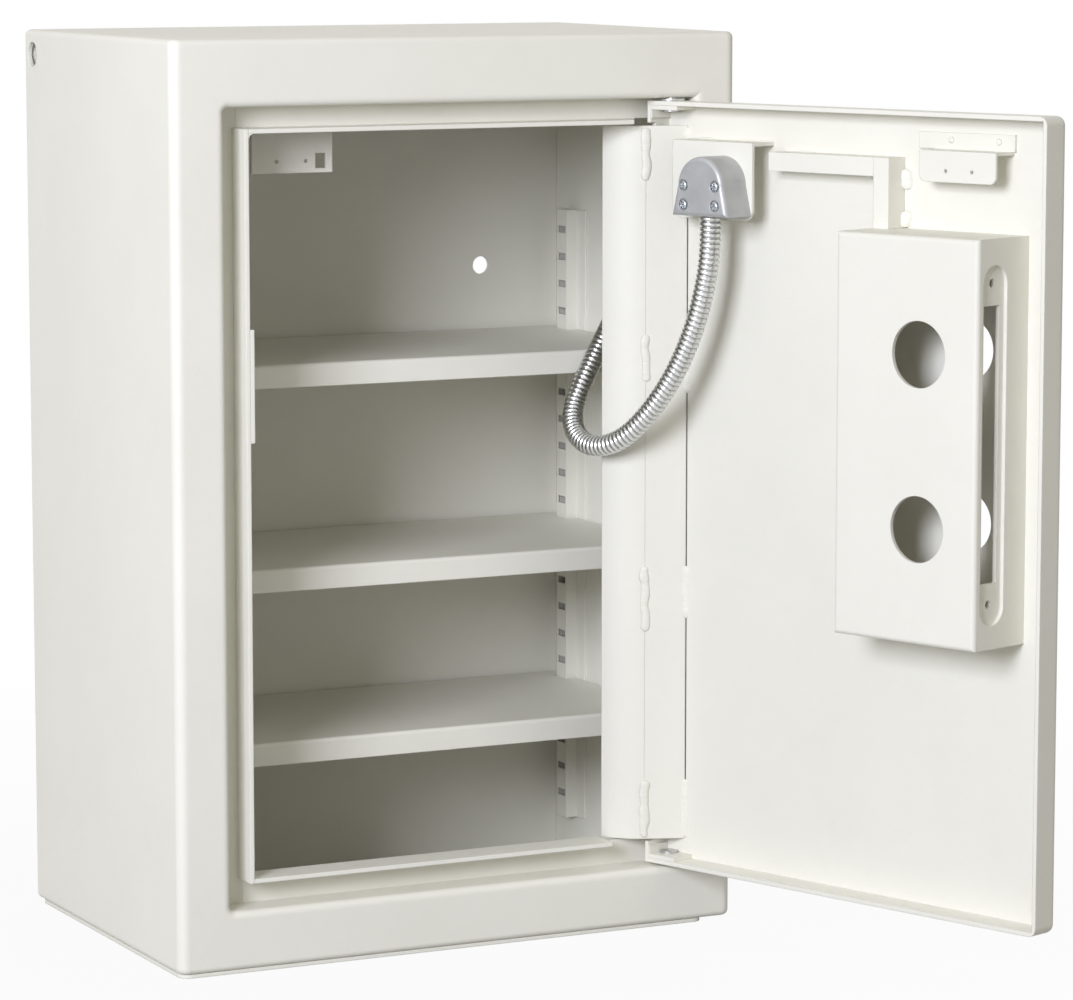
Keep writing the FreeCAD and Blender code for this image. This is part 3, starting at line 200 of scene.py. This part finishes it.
class Shader:
    """A material with one Principled shader and short calls for the nodes that feed it."""

    def __init__(self, name):
        self.material = bpy.data.materials.new(name)
        self.material.use_nodes = True
        self.tree = self.material.node_tree
        self.surface = self.tree.nodes["Principled BSDF"]
        self.place = self.add("ShaderNodeTexCoord").outputs["Object"]

    def add(self, kind, **settings):
        node = self.tree.nodes.new(kind)
        for name, setting in settings.items():
            setattr(node, name, setting)
        return node

    def join(self, source, target):
        self.tree.links.new(source, target)

    def set(self, **values):
        for name, value in values.items():
            self.surface.inputs[name.replace("_", " ")].default_value = value

    def noise(self, scale, detail=2.0, roughness=0.5, stretch=None):
        """Noise with features about 1 / scale metres across."""
        texture = self.add("ShaderNodeTexNoise")
        texture.inputs["Scale"].default_value = scale
        texture.inputs["Detail"].default_value = detail
        texture.inputs["Roughness"].default_value = roughness
        place = self.place
        if stretch:
            mapping = self.add("ShaderNodeMapping")
            mapping.inputs["Scale"].default_value = stretch
            self.join(self.place, mapping.inputs["Vector"])
            place = mapping.outputs["Vector"]
        self.join(place, texture.inputs["Vector"])
        return texture.outputs["Fac"]

    def span(self, source, low, high, from_low=0.3, from_high=0.7):
        """A number that runs from low to high with the source."""
        ranged = self.add("ShaderNodeMapRange")
        ranged.inputs["From Min"].default_value = from_low
        ranged.inputs["From Max"].default_value = from_high
        ranged.inputs["To Min"].default_value = low
        ranged.inputs["To Max"].default_value = high
        self.join(source, ranged.inputs["Value"])
        return ranged.outputs["Result"]

    def tint(self, source, first, second, from_low=0.35, from_high=0.65):
        """A colour that runs from first to second with the source."""
        ramp = self.add("ShaderNodeValToRGB")
        ramp.color_ramp.elements[0].position = from_low
        ramp.color_ramp.elements[0].color = (*first, 1.0)
        ramp.color_ramp.elements[1].position = from_high
        ramp.color_ramp.elements[1].color = (*second, 1.0)
        self.join(source, ramp.inputs["Fac"])
        return ramp.outputs["Color"]

    def colour(self, source):
        self.join(source, self.surface.inputs["Base Color"])

    def roughness(self, source):
        self.join(source, self.surface.inputs["Roughness"])

    def relief(self, layers, edge=0.0):
        """Bumps of (source, depth in metres) over edges that look rounded by the edge radius."""
        normal = None
        if edge:
            bevel = self.add("ShaderNodeBevel", samples=6)
            bevel.inputs["Radius"].default_value = edge
            normal = bevel.outputs["Normal"]
        for source, depth in layers:
            bump = self.add("ShaderNodeBump")
            bump.inputs["Strength"].default_value = 1.0
            bump.inputs["Distance"].default_value = depth
            self.join(source, bump.inputs["Height"])
            if normal:
                self.join(normal, bump.inputs["Normal"])
            normal = bump.outputs["Normal"]
        self.join(normal, self.surface.inputs["Normal"])


def white_coat(name="white_coat", edge=0.0011):
    """Off-white powder coat with a fine orange peel."""
    light = (0.84, 0.828, 0.745)
    shade = (0.815, 0.803, 0.72)
    shader = Shader(name)
    shader.colour(shader.tint(shader.noise(9.0, 4.0, 0.6), shade, light))
    shader.roughness(shader.span(shader.noise(420.0, 2.0), 0.42, 0.56))
    peel = shader.noise(620.0, 2.0, 0.45)
    drift = shader.noise(85.0, 2.0, 0.5)
    shader.relief(((peel, 0.00007), (drift, 0.00012)), edge)
    shader.set(Specular_IOR_Level=0.36)
    return shader.material


def bright_steel(name="bright_steel"):
    """Turned and plated steel of pins and bushes."""
    shader = Shader(name)
    lines = shader.noise(160.0, 3.0, 0.6, stretch=(1.0, 1.0, 9.0))
    shader.colour(shader.tint(lines, (0.50, 0.50, 0.49), (0.66, 0.66, 0.65)))
    shader.roughness(shader.span(lines, 0.22, 0.38))
    shader.relief(((lines, 0.00003),), edge=0.0004)
    shader.set(Metallic=1.0)
    return shader.material


def zinc_screw(name="zinc_screw"):
    """Blue-passivated zinc of the cap screws."""
    shader = Shader(name)
    cloud = shader.noise(900.0, 3.0, 0.6)
    shader.colour(shader.tint(cloud, (0.42, 0.46, 0.50), (0.66, 0.70, 0.73)))
    shader.roughness(shader.span(cloud, 0.2, 0.36))
    shader.relief(((cloud, 0.00002),), edge=0.0002)
    shader.set(Metallic=1.0)
    return shader.material


def cast_cap(name="cast_cap"):
    """Silver-grey lacquered zinc casting."""
    shader = Shader(name)
    fleck = shader.noise(1500.0, 2.0, 0.6)
    cloud = shader.noise(70.0, 3.0, 0.5)
    shader.colour(shader.tint(cloud, (0.46, 0.463, 0.465), (0.52, 0.523, 0.525)))
    shader.roughness(shader.span(fleck, 0.32, 0.5))
    shader.relief(((fleck, 0.00004), (cloud, 0.0001)), edge=0.0012)
    shader.set(Metallic=0.3, Specular_IOR_Level=0.5)
    return shader.material


def ribbed_steel(name="ribbed_steel"):
    """Bright galvanised strip of the conduit, with painted shade darkening it towards the grooves."""
    shader = Shader(name)
    cloud = shader.noise(240.0, 3.0, 0.6)
    pointed = shader.add("ShaderNodeNewGeometry").outputs["Pointiness"]
    # Painted shade: pointiness darkens the grooves between the ribs.
    groove_shade = shader.tint(pointed, (0.30, 0.30, 0.29), (0.74, 0.74, 0.73), 0.44, 0.54)
    mix = shader.add("ShaderNodeMix", data_type="RGBA", blend_type="MULTIPLY")
    mix.inputs["Factor"].default_value = 1.0
    shader.join(groove_shade, mix.inputs["A"])
    shader.join(shader.tint(cloud, (0.86, 0.87, 0.88), (1.0, 1.0, 1.0)), mix.inputs["B"])
    shader.colour(mix.outputs["Result"])
    shader.roughness(shader.span(cloud, 0.2, 0.34))
    shader.relief(((cloud, 0.00003),))
    shader.set(Metallic=1.0)
    return shader.material


def shade_paint(name="shade_paint"):
    """Near-black painted shade, for dark strips where gaps and hollows lie in shade."""
    shader = Shader(name)
    scale = shader.noise(300.0, 4.0, 0.6)
    shader.colour(shader.tint(scale, (0.03, 0.028, 0.024), (0.085, 0.075, 0.062)))
    shader.roughness(shader.span(scale, 0.6, 0.85))
    shader.relief(((scale, 0.00004),))
    shader.set(Specular_IOR_Level=0.2)
    return shader.material


FINISHES = {
    "white_coat": white_coat(),
    "flush_coat": white_coat("flush_coat", edge=0.0),
    "bright_steel": bright_steel(),
    "zinc_screw": zinc_screw(),
    "cast_cap": cast_cap(),
    "ribbed_steel": ribbed_steel(),
    "shade_paint": shade_paint(),
}


def dress_nodes():
    """Gives each carried-over node the finish that the table names for it, or else the white coat."""
    plain = {
        "hinge_pin_upper": "bright_steel",
        "hinge_pin_lower": "bright_steel",
        "hinge_bush_upper": "bright_steel",
        "hinge_bush_lower": "bright_steel",
        "wall_cable_cap": "cast_cap",
        "door_cable_cap": "cast_cap",
        "wall_cap_screws": "zinc_screw",
        "door_cap_screws": "zinc_screw",
        "conduit": "ribbed_steel",
    }
    for name, node in nodes.items():
        node.data.materials.clear()
        node.data.materials.append(FINISHES[plain.get(name, "white_coat")])


# Pieces


def new_piece(name, mesh, finish, body=None):
    """Links a mesh to the scene with its finish, riding on a body."""
    piece = bpy.data.objects.new(name, mesh)
    scene.collection.objects.link(piece)
    mesh.materials.append(FINISHES[finish])
    mesh.shade_smooth()
    if body:
        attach(piece, body)
    return piece


def spline_points(route):
    """Points along the smooth line that has the route as its control points."""
    curve = bpy.data.curves.new("conduit_line", "CURVE")
    curve.dimensions = "3D"
    curve.resolution_u = 16
    spline = curve.splines.new("NURBS")
    spline.points.add(len(route) - 1)
    for point, place in zip(spline.points, route):
        point.co = (*place, 1.0)
    spline.order_u = 3
    spline.use_endpoint_u = True
    line = bpy.data.objects.new("conduit_line", curve)
    scene.collection.objects.link(line)
    mesh = bpy.data.meshes.new_from_object(line)
    points = [vertex.co.copy() for vertex in mesh.vertices]
    bpy.data.objects.remove(line)
    bpy.data.curves.remove(curve)
    bpy.data.meshes.remove(mesh)
    return points


def along(points):
    """Distance of each point from the first one, measured along the line."""
    distances = [0.0]
    for first, second in zip(points, points[1:]):
        distances.append(distances[-1] + (second - first).length)
    return distances


def place_at(points, distances, distance):
    """Point and direction of the line at a distance."""
    index = 0
    while index < len(points) - 2 and distances[index + 1] < distance:
        index += 1
    step = distances[index + 1] - distances[index]
    share = (distance - distances[index]) / step
    direction = (points[index + 1] - points[index]).normalized()
    return points[index].lerp(points[index + 1], share), direction


def conduit():
    """Ribbed metal hose on its line, from the door cap to the wall cap."""
    points = spline_points(CONDUIT_ROUTE)
    distances = along(points)
    total = distances[-1]
    ribs = round(total / CONDUIT_PITCH)
    pitch = total / ribs
    stations = [
        ((rib + share) * pitch, CONDUIT_RADIUS - CONDUIT_GROOVE * depth)
        for rib in range(ribs)
        for share, depth in RIB_PROFILE
    ]
    stations.append((total, CONDUIT_RADIUS - CONDUIT_GROOVE))
    shape = bmesh.new()
    side = Vector((1.0, 0.0, 0.0))
    rings = []
    for distance, radius in stations:
        middle, direction = place_at(points, distances, distance)
        side = (side - direction * side.dot(direction)).normalized()
        other = direction.cross(side)
        ring = []
        for number in range(CONDUIT_SIDES):
            angle = math.tau * number / CONDUIT_SIDES
            arm = side * math.cos(angle) + other * math.sin(angle)
            ring.append(shape.verts.new(middle + arm * radius))
        rings.append(ring)
    for first, second in zip(rings, rings[1:]):
        for number in range(CONDUIT_SIDES):
            after = (number + 1) % CONDUIT_SIDES
            shape.faces.new((first[number], first[after], second[after], second[number]))
    shape.faces.new(list(reversed(rings[0])))
    shape.faces.new(rings[-1])
    bmesh.ops.recalc_face_normals(shape, faces=shape.faces)
    mesh = bpy.data.meshes.new("conduit_hose")
    shape.to_mesh(mesh)
    shape.free()
    hose = new_piece("conduit_hose", mesh, "ribbed_steel")
    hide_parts("conduit")
    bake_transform(hose)


def screw_height(across, up):
    """Height of a screw head's face over its seat."""
    radius = math.hypot(across, up)
    height = SCREW_HEIGHT - SCREW_DOME * (radius / SCREW_RADIUS) ** 2
    rim = max(0.0, radius - (SCREW_RADIUS - SCREW_EDGE)) / SCREW_EDGE
    height -= SCREW_EDGE * (1.0 - math.sqrt(max(0.0, 1.0 - rim * rim)))
    arm, wide = max(abs(across), abs(up)), min(abs(across), abs(up))
    inside = min(RECESS_REACH - arm, RECESS_HALF - wide)
    return height - RECESS_DEPTH * min(1.0, max(0.0, inside / RECESS_WALL + 0.5))


def add_screw(shape, place):
    """Head of one screw, with its axis along the place's Z."""
    rings = []
    for number in range(1, SCREW_RINGS + 1):
        radius = SCREW_RADIUS * number / SCREW_RINGS
        ring = []
        for side in range(SCREW_SIDES):
            angle = math.tau * side / SCREW_SIDES
            across, up = radius * math.cos(angle), radius * math.sin(angle)
            ring.append(shape.verts.new(place @ Vector((across, up, screw_height(across, up)))))
        rings.append(ring)
    foot = []
    for side in range(SCREW_SIDES):
        angle = math.tau * side / SCREW_SIDES
        rim = SCREW_RADIUS * Vector((math.cos(angle), math.sin(angle), 0.0))
        foot.append(shape.verts.new(place @ rim))
    rings.append(foot)
    middle = shape.verts.new(place @ Vector((0.0, 0.0, screw_height(0.0, 0.0))))
    for side in range(SCREW_SIDES):
        after = (side + 1) % SCREW_SIDES
        shape.faces.new((middle, rings[0][side], rings[0][after]))
        for first, second in zip(rings, rings[1:]):
            shape.faces.new((first[side], second[side], second[after], first[after]))
    shape.faces.new(list(reversed(foot)))


def door_turn():
    """Turn of the door from its closed place to rest, about the pivot."""
    pivot = Vector(hinge["pos_m"])
    return Matrix.Translation(pivot) @ Matrix.Rotation(REST_ANGLE, 4, "Z") @ Matrix.Translation(-pivot)


def on_closed_door(from_hinge, from_face, height):
    """Point on the closed door, given from its hinge edge and outer face."""
    return Vector((DOOR_HINGE_EDGE - from_hinge, DOOR_OUTER_FACE + from_face, height))


def facing(place, outward, turn):
    """Frame at a place whose Z looks outward, turned about Z."""
    look = outward.to_track_quat("Z", "Y").to_matrix().to_4x4()
    return Matrix.Translation(place) @ look @ Matrix.Rotation(turn, 4, "Z")


def cap_screws(name, node, body, seats, outward):
    """The four screws of a cable cap."""
    shape = bmesh.new()
    for number, seat in enumerate(seats):
        add_screw(shape, facing(seat, outward, SCREW_FIRST_TURN + SCREW_NEXT_TURN * number))
    mesh = bpy.data.meshes.new(name)
    shape.to_mesh(mesh)
    shape.free()
    piece = new_piece(name, mesh, "zinc_screw", body)
    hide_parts(node)


def screws():
    """Screws of both cable caps."""
    turn = door_turn()
    seats = [
        turn @ on_closed_door(DOOR_CAP_FROM_HINGE + across, DOOR_CAP_SEAT, CAP_FOOT + up)
        for across, up in CAP_SCREWS
    ]
    cap_screws("door_screw_heads", "door_cap_screws", "door", seats, turn.to_3x3() @ Vector((0, 1, 0)))
    seats = [Vector((WALL_CAP_SEAT, WALL_CAP_Y + across, CAP_FOOT + up)) for across, up in CAP_SCREWS]
    cap_screws("wall_screw_heads", "wall_cap_screws", "cabinet", seats, Vector((-1, 0, 0)))


def add_bead(shape, start, end, outward, half):
    """Rippled weld bead with round ends."""
    length = (end - start).length
    direction = (end - start) / length
    side = outward.cross(direction).normalized()
    count = max(8, round((length + 2 * half) / WELD_STEP))
    rings = []
    for number in range(count + 1):
        distance = -half + (length + 2 * half) * number / count
        end_gap = min(distance + half, length + half - distance) / half
        full = math.sqrt(max(0.0, 1.0 - (1.0 - min(1.0, end_gap)) ** 2))
        middle = start + direction * distance
        share, wave = WELD_WANDER
        wander = noise.noise(middle / (wave * half)) * share * half
        lump = sum(share * noise.noise(middle / (wave * half)) for share, wave in WELD_LUMPS)
        ripple = WELD_RIPPLE_DEPTH * (math.sin(math.tau * distance / WELD_RIPPLE) - 1.0)
        width = max(WELD_THINNEST, full * (1.0 + ripple + lump)) * half
        ring = []
        for part in range(WELD_SIDES + 1):
            angle = math.pi * part / WELD_SIDES
            sideways = side * (math.cos(angle) * width + wander)
            upward = outward * (math.sin(angle) * width * WELD_FLATNESS)
            ring.append(shape.verts.new(middle + sideways + upward))
        rings.append(ring)
    for first, second in zip(rings, rings[1:]):
        for part in range(WELD_SIDES):
            shape.faces.new((first[part], first[part + 1], second[part + 1], second[part]))
        shape.faces.new((first[WELD_SIDES], first[0], second[0], second[WELD_SIDES]))
    shape.faces.new(list(reversed(rings[0])))
    shape.faces.new(rings[-1])


def welds():
    """Painted weld beads of the hook, the bracket and the ducts on the door."""
    turn = door_turn()
    shape = bmesh.new()
    for (from_hinge, from_face, up), half, beads in WELDS:
        outward = (turn.to_3x3() @ Vector((-from_hinge, from_face, up))).normalized()
        for ends in beads:
            start, end = (turn @ on_closed_door(*(value * MM for value in place)) for place in ends)
            add_bead(shape, start, end, outward, half * MM)
    bmesh.ops.recalc_face_normals(shape, faces=shape.faces)
    mesh = bpy.data.meshes.new("door_welds")
    shape.to_mesh(mesh)
    shape.free()
    new_piece("door_welds", mesh, "white_coat", "door")


def add_strip(shape, start, end, across, raised):
    """Thin closed strip between two places, with a fine wavy edge."""
    count = max(2, round((end - start).length / STRIP_STEP))
    rows = []
    for number in range(count + 1):
        middle = start.lerp(end, number / count)
        edge = across * (1.0 + STRIP_WAVE * noise.noise(middle * STRIP_WAVES_PER_METRE))
        corners = (middle - edge, middle + edge, middle + edge + raised, middle - edge + raised)
        rows.append([shape.verts.new(corner) for corner in corners])
    for first, second in zip(rows, rows[1:]):
        for corner in range(4):
            after = (corner + 1) % 4
            shape.faces.new((first[corner], first[after], second[after], second[corner]))
    shape.faces.new(list(reversed(rows[0])))
    shape.faces.new(rows[-1])


def strips(name, body, runs):
    """Piece of dark strips of painted shade, each given by its ends, its half width and its thickness.
    """
    shape = bmesh.new()
    for run in runs:
        add_strip(shape, *run)
    bmesh.ops.recalc_face_normals(shape, faces=shape.faces)
    mesh = bpy.data.meshes.new(name)
    shape.to_mesh(mesh)
    shape.free()
    new_piece(name, mesh, "shade_paint", body)


def painted_shade_places():
    """Painted shade: dark strips in the gap along the web's foot and in the cavities behind the shelf
    rails.
    """
    turn = door_turn()
    from_hinge, from_face = (value * MM for value in FOOT)
    across = turn.to_3x3() @ Vector((-GAP_HALF, 0, 0))
    raised = turn.to_3x3() @ Vector((0, STRIP_THICKNESS, 0))
    edges = sorted(height * MM for heights in FOOT_HEIGHTS for height in heights)
    gaps = []
    for low, high in zip(edges[1:-1:2], edges[2:-1:2]):
        ends = [turn @ on_closed_door(from_hinge + GAP_HALF, from_face, z) for z in (low, high)]
        gaps.append((*ends, across, raised))
    strips("hook_gap_shade", "door", gaps)
    # Painted shade: dark strips in the hollows behind the shelf rails.
    cavities = []
    for side in (-1, 1):
        for row in CAVITY_ROWS:
            ends = [Vector((side * CAVITY_X, row, z)) for z in CAVITY_ENDS]
            raised = Vector((-side * STRIP_THICKNESS, 0, 0))
            cavities.append((*ends, Vector((0, CAVITY_HALF, 0)), raised))
    strips("rail_cavity_shade", "cabinet", cavities)


def add_corner(shape, left, high, up, profile):
    """Filled inner corner, given by the outward distance and depth of its edge from front to back."""
    rows = []
    for outward, depth in profile:
        reach = CORNER_RADIUS + outward
        seat = outward + CORNER_SEAT
        row = []
        for step in range(CORNER_STEPS + 1):
            angle = math.pi / 2 * step / CORNER_STEPS
            across = left + CORNER_RADIUS - reach * math.cos(angle)
            height = high - up * (CORNER_RADIUS - reach * math.sin(angle))
            row.append(shape.verts.new((across, depth, height)))
        row.append(shape.verts.new((left - seat, depth, high + up * seat)))
        rows.append(row)
    count = len(rows[0])
    for first, second in zip(rows, rows[1:]):
        for number in range(count):
            after = (number + 1) % count
            shape.faces.new((first[number], first[after], second[after], second[number]))
    for row in (rows[0], rows[-1]):
        for first, second in zip(row[:-1], row[1:-1]):
            shape.faces.new((row[-1], first, second))


def opening_corners():
    """Rounded corners of the frame's opening and of the rim, on the lock side."""
    shape = bmesh.new()
    turns = [math.pi / 2 * step / CORNER_STEPS for step in range(CORNER_STEPS + 1)]
    bend = [
        (FRAME_BEND * (1.0 - math.sin(turn)), FRAME_FACE + FRAME_BEND * (1.0 - math.cos(turn)))
        for turn in turns
    ]
    for height, up in FRAME_ENDS:
        add_corner(shape, FRAME_LEFT, height, up, bend + [(0.0, FRAME_BACK)])
    add_corner(shape, *RIM_CORNER, 1, [(0.0, RIM_FACE), (0.0, RIM_BACK)])
    bmesh.ops.recalc_face_normals(shape, faces=shape.faces)
    mesh = bpy.data.meshes.new("opening_corners")
    shape.to_mesh(mesh)
    shape.free()
    piece = new_piece("opening_corners", mesh, "flush_coat", "cabinet")
    mesh.set_sharp_from_angle(angle=SHARP_ANGLE)


# Stage: the floor glows white away from the object, so that no horizon shows.
FLOOR_HALF = 6.0
FLOOR_DROP = 0.2 * MM
FLOOR_NEAR = 0.25
FLOOR_FAR = 1.1
FLOOR_GLOW = 0.94


def camera():
    """Camera at the viewing angle, with no shift and no depth of field."""
    forward = Vector((
        math.sin(CAMERA_AZIMUTH) * math.cos(CAMERA_ELEVATION),
        math.cos(CAMERA_AZIMUTH) * math.cos(CAMERA_ELEVATION),
        -math.sin(CAMERA_ELEVATION),
    ))
    data = bpy.data.cameras.new("camera")
    data.lens = CAMERA_LENS
    data.sensor_width = CAMERA_SENSOR
    data.sensor_fit = "HORIZONTAL"
    data.clip_end = 20.0
    eye = bpy.data.objects.new("camera", data)
    eye.location = CAMERA_TARGET - forward * CAMERA_DISTANCE
    eye.rotation_euler = forward.to_track_quat("-Z", "Y").to_euler()
    scene.collection.objects.link(eye)
    scene.camera = eye


def seen_directly(tree):
    """One for rays from the camera and for rays that a mirror or glass passes on."""
    rays = tree.nodes.new("ShaderNodeLightPath")
    first = tree.nodes.new("ShaderNodeMath")
    first.operation = "MAXIMUM"
    tree.links.new(rays.outputs["Is Camera Ray"], first.inputs[0])
    tree.links.new(rays.outputs["Is Glossy Ray"], first.inputs[1])
    second = tree.nodes.new("ShaderNodeMath")
    second.operation = "MAXIMUM"
    tree.links.new(first.outputs["Value"], second.inputs[0])
    tree.links.new(rays.outputs["Is Transmission Ray"], second.inputs[1])
    return second.outputs["Value"]


def world():
    """White backdrop over a soft fill light."""
    sky = bpy.data.worlds.new("studio")
    sky.use_nodes = True
    tree = sky.node_tree
    fill = tree.nodes["Background"]
    fill.inputs["Color"].default_value = (1.0, 0.965, 0.86, 1.0)
    fill.inputs["Strength"].default_value = 0.45
    backdrop = tree.nodes.new("ShaderNodeBackground")
    backdrop.inputs["Color"].default_value = (1.0, 1.0, 1.0, 1.0)
    backdrop.inputs["Strength"].default_value = 1.0
    mix = tree.nodes.new("ShaderNodeMixShader")
    tree.links.new(seen_directly(tree), mix.inputs["Fac"])
    tree.links.new(fill.outputs["Background"], mix.inputs[1])
    tree.links.new(backdrop.outputs["Background"], mix.inputs[2])
    tree.links.new(mix.outputs["Shader"], tree.nodes["World Output"].inputs["Surface"])
    scene.world = sky


def floor():
    """Pale floor that keeps the object's shadow."""
    shape = bmesh.new()
    bmesh.ops.create_grid(shape, x_segments=1, y_segments=1, size=FLOOR_HALF)
    mesh = bpy.data.meshes.new("floor")
    shape.to_mesh(mesh)
    shape.free()
    ground = bpy.data.objects.new("floor", mesh)
    ground.location.z = -FLOOR_DROP
    scene.collection.objects.link(ground)
    paint = bpy.data.materials.new("floor")
    paint.use_nodes = True
    tree = paint.node_tree
    matt = tree.nodes["Principled BSDF"]
    matt.inputs["Base Color"].default_value = (0.36, 0.36, 0.35, 1.0)
    matt.inputs["Roughness"].default_value = 0.9
    matt.inputs["Specular IOR Level"].default_value = 0.1
    glow = tree.nodes.new("ShaderNodeEmission")
    glow.inputs["Color"].default_value = (1.0, 1.0, 1.0, 1.0)
    place = tree.nodes.new("ShaderNodeTexCoord")
    away = tree.nodes.new("ShaderNodeVectorMath")
    away.operation = "LENGTH"
    tree.links.new(place.outputs["Object"], away.inputs[0])
    fade = tree.nodes.new("ShaderNodeMapRange")
    fade.inputs["From Min"].default_value = FLOOR_NEAR
    fade.inputs["From Max"].default_value = FLOOR_FAR
    fade.inputs["To Min"].default_value = FLOOR_GLOW
    fade.inputs["To Max"].default_value = 1.0
    tree.links.new(away.outputs["Value"], fade.inputs["Value"])
    share = tree.nodes.new("ShaderNodeMath")
    share.operation = "MULTIPLY"
    tree.links.new(seen_directly(tree), share.inputs[0])
    tree.links.new(fade.outputs["Result"], share.inputs[1])
    mix = tree.nodes.new("ShaderNodeMixShader")
    tree.links.new(share.outputs["Value"], mix.inputs["Fac"])
    tree.links.new(matt.outputs["BSDF"], mix.inputs[1])
    tree.links.new(glow.outputs["Emission"], mix.inputs[2])
    tree.links.new(mix.outputs["Shader"], tree.nodes["Material Output"].inputs["Surface"])
    mesh.materials.append(paint)


def lamp(name, place, aim, size, power, colour):
    """Square soft box at a place, turned to an aim."""
    data = bpy.data.lights.new(name, "AREA")
    data.shape = "SQUARE"
    data.size = size
    data.energy = power
    data.color = colour
    light = bpy.data.objects.new(name, data)
    light.location = place
    light.rotation_euler = (Vector(aim) - Vector(place)).to_track_quat("-Z", "Y").to_euler()
    light.visible_camera = False
    scene.collection.objects.link(light)
    return light


def lights():
    """A soft box in front to the left, which reaches the right wall inside, and a weaker one behind."""
    aim = (0.10, -0.15, 0.35)
    cool = (0.855, 0.876, 1.0)
    lamp("key", (-2.082, -1.854, 1.196), aim, 1.0, 72.0, cool)
    behind = lamp("back", (1.86, 2.04, 1.10), aim, 1.2, 46.0, cool)
    behind.visible_glossy = False


dress_nodes()
conduit()
screws()
welds()
painted_shade_places()
opening_corners()
camera()
world()
floor()
lights()
scene.view_settings.view_transform = "Standard"
